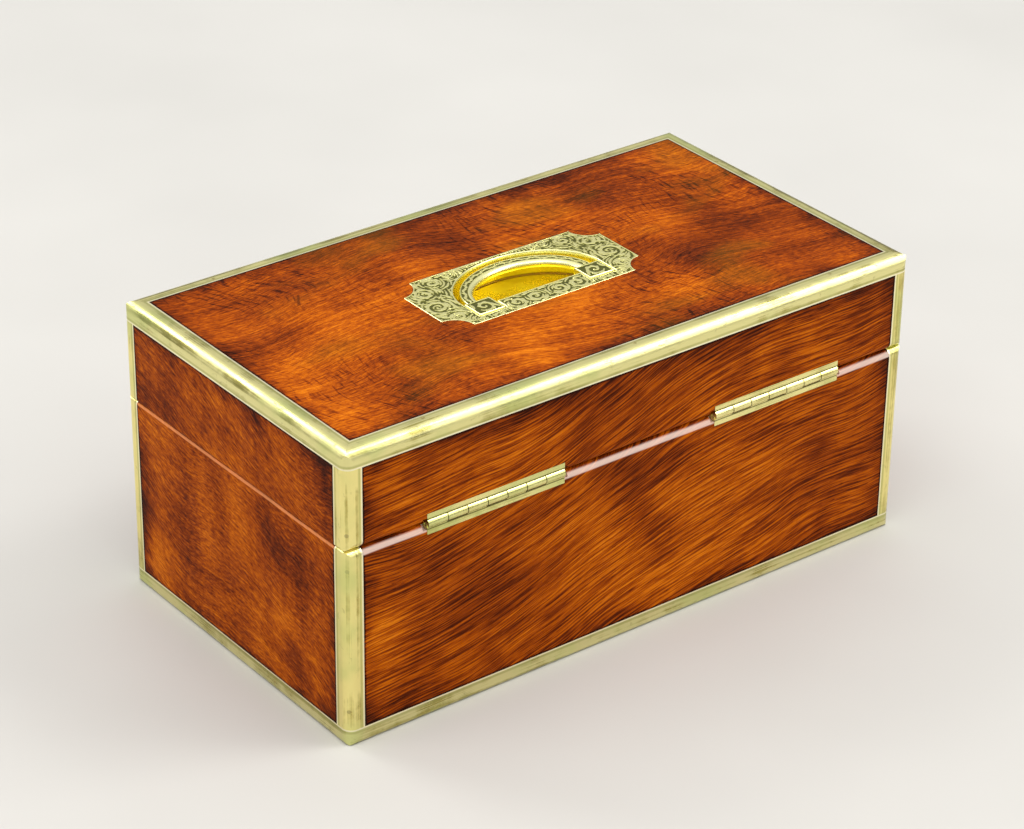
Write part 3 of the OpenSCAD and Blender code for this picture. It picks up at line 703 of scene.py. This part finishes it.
def plate_loops():
    """Matching points of the plate's inner edge and outer edge, once round."""
    m = MM
    notch = [(PLATE_HX - NOTCH_R * math.sin(t), PLATE_HY - NOTCH_R * math.cos(t))
             for t in np.linspace(math.pi / 2, 0, 24)]
    far_notch = [(x, -y) for x, y in notch[::-1]]
    corner_x = PLATE_HX - NOTCH_R
    split = 53
    sections = [
        ([(0, NEAR_EDGE), (HEEL_X0, NEAR_EDGE)], [(0, PLATE_HY), (11.5 * m, PLATE_HY)], 76),
        ([(HEEL_X0, NEAR_EDGE), (HEEL_X0, HEEL_Y1)], [(11.5 * m, PLATE_HY), (15.2 * m, PLATE_HY)], 24),
        ([(HEEL_X0, HEEL_Y1), (ARCH_A, HEEL_Y1)], [(15.2 * m, PLATE_HY), (26.5 * m, PLATE_HY)], 56),
        ([(ARCH_A, HEEL_Y1), (ARCH_A, ARCH_Y)],
         [(26.5 * m, PLATE_HY)] + notch + [(PLATE_HX, 3.5 * m)], 100),
        (arch_points(ARCH_A, ARCH_B, 0, split), [(PLATE_HX, 3.5 * m)] + far_notch, 112),
        (arch_points(ARCH_A, ARCH_B, split, 90), [(corner_x, -PLATE_HY), (0, -PLATE_HY)], 150),
    ]
    inner = np.vstack([resample(i, n) for i, o, n in sections])
    outer = np.vstack([resample(o, n) for i, o, n in sections])
    return whole_loop(inner, (0, ARCH_Y - ARCH_B)), whole_loop(outer, (0, -PLATE_HY))


def closed_path(loop):
    return np.vstack([loop, loop[:1]])


def make_plate(material):
    inner, outer = plate_loops()
    columns, rows = len(inner), 60
    share = 0.5 - 0.5 * np.cos(np.pi * np.linspace(0, 1, rows))
    share = 0.45 * share + 0.55 * np.linspace(0, 1, rows)
    flat = np.vstack([inner + s * (outer - inner) for s in share])
    to_inner, _ = distance_to_path(flat, closed_path(inner)[::3])
    to_outer, _ = distance_to_path(flat, closed_path(outer)[::3])
    border = np.minimum(to_inner, to_outer)
    strokes = plate_strokes()
    strokes += filling_leaves(flat, border, strokes)
    depth, cut = engrave(flat, strokes, border)
    z = TOP_Z - depth - rounded_drop(border, 0.35 * MM)
    top = np.c_[flat, z]
    under = [np.c_[loop, np.full(columns, TOP_Z - PLATE_T)] for loop in (outer, inner)]
    vertices = np.vstack([top] + under)
    faces = ring_faces(rows + 2, columns, closed_rows=True)
    for side in (-1, 1):
        x0, x1 = sorted(((ARCH_A + BOWL_T) * side, LUG_X1 * side))
        low = (x0, PIVOT_Y - LUG_HALF, TOP_Z - PLATE_T - LUG_DROP)
        high = (x1, PIVOT_Y + LUG_HALF, TOP_Z - PLATE_T + 0.2 * MM)
        vertices, faces = joined(vertices, faces, soft_block(low, high, 0.3 * MM))
    cut = np.r_[cut, np.zeros(len(vertices) - len(cut))]
    piece = make_piece("handle_plate_engraved", vertices, faces, material, cut=cut)
    fix_normals(piece)
    sharpen(piece, 50)
    return piece


def soft_block(low, high, bevel, top=None, steps=(1, 1)):
    """A block with bevelled top and bottom edges. top(points) is how far its top face lies below high[2]."""
    low, high = np.array(low, float), np.array(high, float)
    nx, ny = steps
    xs = np.linspace(low[0] + bevel, high[0] - bevel, nx + 1)
    ys = np.linspace(low[1] + bevel, high[1] - bevel, ny + 1)
    grid = np.array([(x, y) for y in ys for x in xs])
    drop = top(grid) if top else np.zeros(len(grid))
    vertices = [np.c_[grid, high[2] - drop]]
    faces, rim = grid_faces(nx, ny)
    centre = 0.5 * (low[:2] + high[:2])
    half = 0.5 * (high[:2] - low[:2])
    base = grid[rim]

    def grown(g):
        return centre + (base - centre) * (half - bevel + g) / (half - bevel)

    corner = bevel * (1 - math.sqrt(0.5))
    layers = [(bevel - corner, high[2] - corner), (bevel, high[2] - bevel),
              (bevel, low[2] + bevel), (0.0, low[2])]
    previous, count = rim, len(grid)
    for g, z in layers:
        vertices.append(np.c_[grown(g), np.full(len(rim), z)])
        current = list(range(count, count + len(rim)))
        for k in range(len(rim)):
            n = (k + 1) % len(rim)
            faces.append((previous[k], previous[n], current[n], current[k]))
        previous, count = current, count + len(rim)
    faces.append(tuple(previous))
    return np.vstack(vertices), faces


def make_bail(material):
    """The arched ring with an engraved top and a polished inner bevel, and two engraved heels."""
    m = MM
    outer_a, outer_b = ARCH_A - BAIL_SIDE_GAP, ARCH_B - BAIL_APEX_GAP
    top_z = TOP_Z - BAIL_DROP
    low_z = top_z - BAIL_T
    bevel_at = 2.75 * m / BAIL_W
    flat_steps = 18
    section = [(0.02, low_z), (0.0, low_z + 0.3 * m), (0.0, top_z - 0.35 * m), (0.03, top_z - 0.10 * m)]
    section += [(0.07 + (bevel_at - 0.07) * k / flat_steps, top_z) for k in range(flat_steps + 1)]
    section += [(bevel_at + (1 - bevel_at) * math.sin(t), top_z - 1.25 * m * (1 - math.cos(t)))
                for t in np.linspace(0.15, math.pi / 2, 9)]
    section += [(1.0, low_z + 0.35 * m), (0.96, low_z + 0.08 * m), (0.90, low_z)]
    stations = [(0, leg) for leg in (1.6 * m, 0.8 * m)]
    stations += [(t, 0.0) for t in np.linspace(0, 180, 301)]
    stations += [(180, leg) for leg in (0.8 * m, 1.6 * m)]
    points = []
    for degrees, leg in stations:
        t = math.radians(degrees)
        for share, z in section:
            a, b = outer_a - share * BAIL_W, outer_b - share * BAIL_W
            points.append((a * math.cos(t), ARCH_Y - b * math.sin(t) + leg, z))
    vertices = np.array(points)
    columns = len(section)
    shares = np.tile([s for s, _ in section], len(stations))
    is_top = np.tile([abs(z - top_z) < 1e-9 for _, z in section], len(stations))
    border = np.minimum(shares, bevel_at + 0.02 - shares) * BAIL_W + 0.1 * m
    border[~is_top] = 0
    depth, cut = engrave(vertices[:, :2], bail_strokes(), border)
    vertices[:, 2] -= depth
    faces = ring_faces(len(stations), columns)
    faces.append(tuple(range(columns)))
    faces.append(tuple(range((len(stations) - 1) * columns, len(stations) * columns)))
    for side in (-1, 1):
        low_x, high_x = HEEL_X0 + HEEL_GAP, ARCH_A - HEEL_GAP
        x0, x1 = (low_x, high_x) if side > 0 else (-high_x, -low_x)
        low = (x0, PIVOT_Y - HEEL_FRONT, TOP_Z - PIVOT_DROP - HEEL_BELOW)
        high = (x1, PIVOT_Y + HEEL_BACK, TOP_Z)
        cuts = []

        def carved(grid, low=low, high=high, cuts=cuts):
            drop, dark = engrave(grid, bail_strokes(), edge_distance(grid, low, high))
            cuts.append(dark)
            return drop

        vertices, faces = joined(vertices, faces, soft_block(low, high, 0.3 * m, top=carved, steps=(54, 46)))
        cut = np.r_[cut, cuts[0]]
        cut = np.r_[cut, np.zeros(len(vertices) - len(cut))]
    piece = make_piece("bail_engraved", vertices, faces, material, cut=cut)
    fix_normals(piece)
    sharpen(piece, 50)
    return piece


def recess_loop(grow):
    """The recess's outline grown outwards, with the same number of points for every size."""
    a, b = ARCH_A + grow, ARCH_B + grow
    side = [(a, HEEL_Y1 + grow), (a, ARCH_Y)]
    near = [(0, NEAR_EDGE + grow), (HEEL_X0 - grow, NEAR_EDGE + grow),
            (HEEL_X0 - grow, HEEL_Y1 + grow), (a, HEEL_Y1 + grow)]
    half = np.vstack([resample(near[0:2], 20), resample(near[1:3], 8), resample(near[2:4], 12),
                      resample(side, 12), resample(arch_points(a, b, 0, 90), 90)])
    return whole_loop(half, (0, ARCH_Y - b))


def make_bowl(material):
    """The deep cup: upright walls, a small round at the foot, a flat floor and the stop blocks."""
    m = MM
    floor_z = TOP_Z - RECESS_DEPTH
    rim_z = TOP_Z - PLATE_T
    foot = 0.4 * m
    bends = np.linspace(0.3, math.pi / 2, 5)
    layers = [(BOWL_T, rim_z, 0.0), (BOWL_T, floor_z - BOWL_T + foot, 0.0)]
    layers += [(BOWL_T - foot * (1 - math.cos(t)), floor_z - BOWL_T + foot - foot * math.sin(t), 0.0)
               for t in bends]
    layers = layers[::-1]
    layers += [(0.0, rim_z, 0.0), (0.0, floor_z + foot + 0.3 * m, 0.0), (0.0, floor_z + foot, 0.7)]
    layers += [(-foot * (1 - math.cos(t)), floor_z + foot * (1 - math.sin(t)), 1.0) for t in bends]
    layers += [(-foot - 0.15 * m, floor_z, 0.7), (-foot - 0.5 * m, floor_z, 0.0)]
    loops = [np.c_[recess_loop(g), np.full(len(recess_loop(0)), z)] for g, z, dark in layers]
    vertices = np.vstack(loops)
    columns = len(loops[0])
    faces = ring_faces(len(layers), columns)
    faces.append(tuple(range(columns)))
    faces.append(tuple(range((len(layers) - 1) * columns, len(layers) * columns)))
    block_top = TOP_Z - PIVOT_DROP - HEEL_BELOW - 0.15 * m
    block_y1 = PIVOT_Y - HEEL_BELOW - 0.1 * m
    for side in (-1, 1):
        x0, x1 = sorted((HEEL_X0 * side, ARCH_A * side))
        block = soft_block((x0, ARCH_Y + 0.1 * m, floor_z - 0.2 * m), (x1, block_y1, block_top), 0.15 * m)
        vertices, faces = joined(vertices, faces, block)
    cut = np.zeros(len(vertices))
    cut[:len(layers) * columns] = np.repeat([dark for g, z, dark in layers], columns)
    piece = make_piece("recess_bowl", vertices, faces, material, cut=cut)
    fix_normals(piece)
    with editing(piece) as bm:
        bmesh.ops.triangulate(bm, faces=[f for f in bm.faces if len(f.verts) > 4])
    sharpen(piece, 40)
    return piece


# ---- Linings

SHEET_STEPS = (92, 46)     # cells of the grid along a sheet or the padding, and across it
TUFT_PRESS, TUFT_REACH = 0.5 * MM, 3.0 * MM
CLOTH_FRAMES = 20


def cloth_slab(name, node, material, seed=1):
    """A thin closed sheet in the space of a CAD node, with a slightly uneven top and rounded edges."""
    low, high = node_box(node)
    phases = np.random.default_rng(seed).uniform(0, 6.28, 6)
    thick = high[2] - low[2]

    def uneven(grid):
        x, y = grid[:, 0], grid[:, 1]
        wave = np.sin(61 * x + phases[0]) * np.sin(83 * y + phases[1])
        wave += 0.6 * np.sin(170 * x + 90 * y + phases[2]) + 0.4 * np.sin(260 * y - 120 * x + phases[3])
        return thick * 0.06 * (1 + wave / 2)

    piece = make_piece(name, *soft_block(low, high, 0.3 * thick, top=uneven, steps=SHEET_STEPS), material)
    fix_normals(piece)
    return piece


def quilted_pad(name, node, material):
    """A padded lining: a slab blown up by cloth simulation while it is held down at its tufts and edges."""
    low, high = node_box(node)
    nx, ny = SHEET_STEPS
    columns, rows = 5, 3
    thick = high[2] - low[2]
    face_z = low[2] + 0.45 * thick
    xs, ys = np.linspace(low[0], high[0], nx + 1), np.linspace(low[1], high[1], ny + 1)
    vertices = [(x, y, z) for z in (high[2], face_z) for y in ys for x in xs]
    layer = (nx + 1) * (ny + 1)
    quads, rim = grid_faces(nx, ny)
    faces = []
    for quad in quads:
        faces += [quad, tuple(layer + quad[k] for k in (0, 3, 2, 1))]
    for a, b in zip(rim, rim[1:] + rim[:1]):
        faces.append((a, layer + a, layer + b, b))
    piece = make_piece(name, vertices, faces, material)
    fix_normals(piece)
    tufts = []
    for r in range(rows):
        odd = r % 2
        for c in range(columns - odd):
            tufts.append((low[0] + (c + 0.5 + 0.5 * odd) * (high[0] - low[0]) / columns,
                          low[1] + (r + 0.5) * (high[1] - low[1]) / rows))
    tufts = np.array(tufts)
    points = np.array(vertices)
    to_tuft = np.min([np.hypot(points[:, 0] - x, points[:, 1] - y) for x, y in tufts], axis=0)
    edge = edge_distance(points, low, high)
    held = (to_tuft < 1.3 * MM) | (edge < 0.5 * MM) | (np.arange(len(points)) < layer)
    group = piece.vertex_groups.new(name="held")
    group.add([int(i) for i in np.where(held)[0]], 1.0, "ADD")
    cloth = piece.modifiers.new("cloth", "CLOTH")
    settings = cloth.settings
    settings.quality = 6
    settings.mass = 0.2
    settings.use_pressure = True
    settings.uniform_pressure_force = 40.0
    settings.tension_stiffness = settings.compression_stiffness = 3.0
    settings.shear_stiffness = 1.5
    settings.bending_stiffness = 0.15
    settings.effector_weights.gravity = 0.0
    settings.vertex_group_mass = "held"
    cloth.collision_settings.use_collision = False
    scene = bpy.context.scene
    for step in range(1, CLOTH_FRAMES + 1):
        scene.frame_set(step)
    shown = piece.evaluated_get(bpy.context.evaluated_depsgraph_get())
    moved = np.empty(len(points) * 3)
    shown.data.vertices.foreach_get("co", moved)
    moved = moved.reshape(-1, 3)
    piece.modifiers.remove(cloth)
    scene.frame_set(1)
    moved = np.clip(moved, low, high)
    pressed = np.clip(1 - to_tuft / TUFT_REACH, 0, 1) ** 2
    moved[layer:, 2] += (pressed * TUFT_PRESS)[layer:]
    piece.data.vertices.foreach_set("co", moved.ravel())
    piece.data.update()
    return piece, tufts, face_z


def tuft_buttons(name, tufts, z, material):
    """Small covered buttons that hold the padding down."""
    vertices, faces = [], []
    rings, spokes, radius, height = 5, 16, 1.6 * MM, 0.9 * MM
    for x, y in tufts:
        base = len(vertices)
        for r in range(rings):
            t = 0.5 * math.pi * r / (rings - 1)
            reach = radius * math.cos(t)
            for k in range(spokes):
                a = 2 * math.pi * k / spokes
                vertices.append((x + reach * math.cos(a), y + reach * math.sin(a), z - height * math.sin(t)))
        for r in range(rings - 1):
            for k in range(spokes):
                n = (k + 1) % spokes
                a, b = base + r * spokes, base + (r + 1) * spokes
                faces.append((a + k, b + k, b + n, a + n))
        faces.append(tuple(base + k for k in range(spokes)))
    piece = make_piece(name, vertices, faces, material)
    with editing(piece) as bm:
        bmesh.ops.remove_doubles(bm, verts=bm.verts, dist=1e-6)
        bmesh.ops.recalc_face_normals(bm, faces=bm.faces)
    return piece


# ---- Materials of the CAD nodes


def paint(name, material):
    """Gives a CAD node one material in every slot."""
    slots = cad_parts[name].data.materials
    if not slots:
        slots.append(material)
    for i in range(len(slots)):
        slots[i] = material


def paint_wood():
    x_edges = (-HALF_L + STRIP_W, HALF_L - STRIP_W)
    y_edges = (-HALF_D + STRIP_W, HALF_D - STRIP_W)
    case_z = ("Z", FOOT_W, None)
    lid_z = ("Z", None, TOP_Z - STRIP_W)
    # The case's seam arrises are lightened partly as wear and partly as a painted highlight.
    case_back_rub_and_highlight = SEAM_Z - 1.5 * MM, 1.3 * MM, 0.65, (0.92, 0.72, 0.62, 1), "Y", HALF_D - 2.4 * MM
    case_end_rub_and_highlight = SEAM_Z - 0.5 * MM, 0.6 * MM, 0.55, (0.92, 0.36, 0.14, 1), "X", HALF_L - 0.9 * MM
    for part, z_edges, seed, back_rub_and_highlight, end_rub_and_highlight in (("case", case_z, 1.0, case_back_rub_and_highlight, case_end_rub_and_highlight),
                                                 ("lid", lid_z, 4.0, None, None)):
        paint(part + "_back_wall", polished_wood(
            part + "_back_wood", "X", "Z", seed, slope=0.08, bend=(0.012, 0.01, 0.045), sway=0.016,
            lines=1.05, streaks=0.5, patches=1.1, level=0.555, borders=(("X", *x_edges), z_edges),
            rubbed_edge_and_highlight=back_rub_and_highlight))
        paint(part + "_front_wall", polished_wood(
            part + "_front_wood", "X", "Z", seed + 20, slope=-0.05, sway=0.03, patches=0.9, ripple=0.2,
            borders=(("X", *x_edges), z_edges)))
        for end, shift in (("right", 40), ("left", 60)):
            paint(f"{part}_{end}_wall", polished_wood(
                f"{part}_{end}_wood", "Y", "Z", seed + shift, slope=0.30, sway=0.03, lines=0.25, streaks=0.35,
                flecks=1.25, patches=1.1, bands=0.8, level=0.585, borders=(("Y", *y_edges), z_edges),
                rubbed_edge_and_highlight=end_rub_and_highlight))
    # The top panel has a painted shading gradient and painted olive reflection patches.
    paint("top_panel", polished_wood(
        "top_wood", "X", "Y", 81.0, slope=0.06, sway=0.03, lines=0.35, streaks=0.40, flecks=0.95, patches=1.0,
        ripple=0.36, bands=0.35, level=0.55, painted_shading_tilt=(0.5, 1.4), olive_reflection=0.24,
        borders=(("X", *x_edges), ("Y", *y_edges))))
    inner_x = plain_wood("inner_wood_long", "X")
    inner_y = plain_wood("inner_wood_cross", "Y")
    for name in ("bottom_board", "liner_board", "long_divider"):
        paint(name, inner_x)
    for k in range(1, 6):
        paint(f"cross_divider_{k}", inner_y)


def paint_metal():
    edge_x, edge_y, edge_z = HALF_L - STRIP_W, HALF_D - STRIP_W, TOP_Z - STRIP_W
    for sides, along, across, edge in ((("front", "back"), "X", "Y", edge_y),
                                       (("left", "right"), "Y", "X", edge_x)):
        # The edges given to the strips get a painted highlight line.
        top = worn_brass("brass_top_" + along.lower(), along, edges=((across, edge), ("Z", edge_z)))
        foot = worn_brass("brass_foot_" + along.lower(), along, light=(0.72, 0.66, 0.32, 1),
                          edges=(("Z", FOOT_W),))
        for side in sides:
            paint("top_strip_" + side, top)
            paint("foot_strip_" + side, foot)
    upright = worn_brass("brass_corner", "Z", light=(0.90, 0.79, 0.31, 1), dark=(0.50, 0.42, 0.12, 1),
                         edges=(("X", edge_x), ("Y", edge_y)), stain=0.25)
    for part in ("case", "lid"):
        for corner in ("front_left", "front_right", "back_left", "back_right"):
            paint(f"{part}_corner_{corner}", upright)
    hinge = worn_brass("brass_hinge", "X", light=(0.88, 0.80, 0.34, 1), dark=(0.52, 0.45, 0.14, 1),
                       rough=(0.20, 0.34), stain=0.2, strength=0.15,
                       crease=(HALF_D - AXIS_IN, SEAM_Z, KNUCKLE_R))
    for side in ("left", "right"):
        for part in ("lid_leaf", "case_leaf", "pin"):
            paint(f"{side}_hinge_{part}", hinge)
    small = worn_brass("brass_small", "Z", light=(0.62, 0.54, 0.22, 1), dark=(0.34, 0.27, 0.08, 1), stain=0.5)
    for name in ("case_edge_pins", "lid_edge_pins", "handle_pivot_pins", "handle_studs", "lock_screws",
                 "link_plate_screws", "hinge_screws_lid", "hinge_screws_case"):
        paint(name, small)
    lock = worn_brass("brass_lock", "X", light=(0.74, 0.60, 0.24, 1), dark=(0.42, 0.32, 0.10, 1),
                      rough=(0.3, 0.45))
    for name in ("lock_case", "link_plate", "keyhole_escutcheon"):
        paint(name, lock)
    steel = bright_steel("bright_steel")
    for name in ("lock_bolt", "handle_nuts"):
        paint(name, steel)


# ---- Build the object

paint_wood()
paint_metal()

engraved = engraved_brass("engraved_brass")
plate = make_plate(engraved)
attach(plate, "lid")
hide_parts("handle_plate")

bail = make_bail(engraved)
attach(bail, "bail")
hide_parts("handle_bail")

bowl = make_bowl(polished_bowl_brass("bowl_brass"))
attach(bowl, "lid")
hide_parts("handle_bowl")

velvet = silk_velvet("lid_velvet", srgb(58, 8, 22), srgb(132, 26, 52))
pad, tufts, pad_z = quilted_pad("lid_padding", "lid_lining", velvet)
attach(pad, "lid")
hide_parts("lid_lining")

buttons = tuft_buttons("lid_padding_buttons", tufts, pad_z + TUFT_PRESS, velvet)
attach(buttons, "lid")

felt = cloth_slab("floor_felt_sheet", "floor_felt", felted("red_felt", srgb(74, 10, 18), srgb(134, 28, 36)))
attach(felt, "case")
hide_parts("floor_felt")

baize = cloth_slab("foot_baize_sheet", "foot_baize",
                   felted("green_baize", srgb(14, 44, 26), srgb(38, 84, 52)), seed=2)
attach(baize, "case")
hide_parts("foot_baize")

# ---- Floor and light

LIGHT_AIM = Vector((0, 0, 0.05))


def make_floor():
    r = 4.0
    mesh = bpy.data.meshes.new("floor")
    mesh.from_pydata([(-r, -r, 0), (r, -r, 0), (r, r, 0), (-r, r, 0)], [], [(0, 1, 2, 3)])
    s = Shader("pale_floor")
    cloud = s.noise(s.coords, scale=6, detail=3)
    colour = s.ramp(cloud, [(0.3, srgb(196, 194, 190)), (0.7, srgb(204, 202, 198))])
    mesh.materials.append(s.surface(Base_Color=colour, Roughness=0.7))
    floor = placed("floor", mesh)


def area_light(name, place, size, watts, colour):
    """A panel that faces the middle of the box."""
    data = bpy.data.lights.new(name, "AREA")
    data.shape = "RECTANGLE"
    data.size, data.size_y = size
    data.energy = watts
    data.color = colour
    turn = (Vector(place) - LIGHT_AIM).to_track_quat("Z", "Y").to_matrix()
    placed(name, data).matrix_world = Matrix.Translation(Vector(place)) @ turn.to_4x4()


def make_light():
    """A plain studio: a dome that brightens towards the zenith and soft panels."""
    world = bpy.data.worlds.new("studio")
    world.use_nodes = True
    nodes, links = world.node_tree.nodes, world.node_tree.links
    background = nodes["Background"]
    place = nodes.new("ShaderNodeTexCoord")
    split = nodes.new("ShaderNodeSeparateXYZ")
    ramp = nodes.new("ShaderNodeValToRGB")
    links.new(place.outputs["Generated"], split.inputs[0])
    links.new(split.outputs[2], ramp.inputs[0])
    links.new(ramp.outputs[0], background.inputs[0])
    low, high = ramp.color_ramp.elements
    low.position, low.color = 0.0, (0.26, 0.26, 0.27, 1)
    high.position, high.color = 0.75, (1.0, 1.0, 0.98, 1)
    background.inputs[1].default_value = 0.95
    bpy.context.scene.world = world
    white, warm, warmer = (1.0, 1.0, 0.98), (1.0, 0.99, 0.97), (1.0, 0.98, 0.95)
    for name, place, size, watts, colour in (
            ("sky_panel", (0.3, 0.5, 1.5), (1.6, 1.3), 9, white),
            ("back_edge_panel", (-0.80, 0.54, 1.20), (0.5, 0.5), 6, warm),
            ("right_edge_panel", (0.50, -1.05, 1.00), (0.5, 0.5), 5, warm),
            ("side_panel", (-1.3, 1.2, 0.9), (1.0, 0.9), 7, warmer),
            ("end_panel", (1.5, -0.6, 0.9), (0.9, 0.9), 5, warmer)):
        area_light(name, place, size, watts, colour)


make_floor()
make_light()
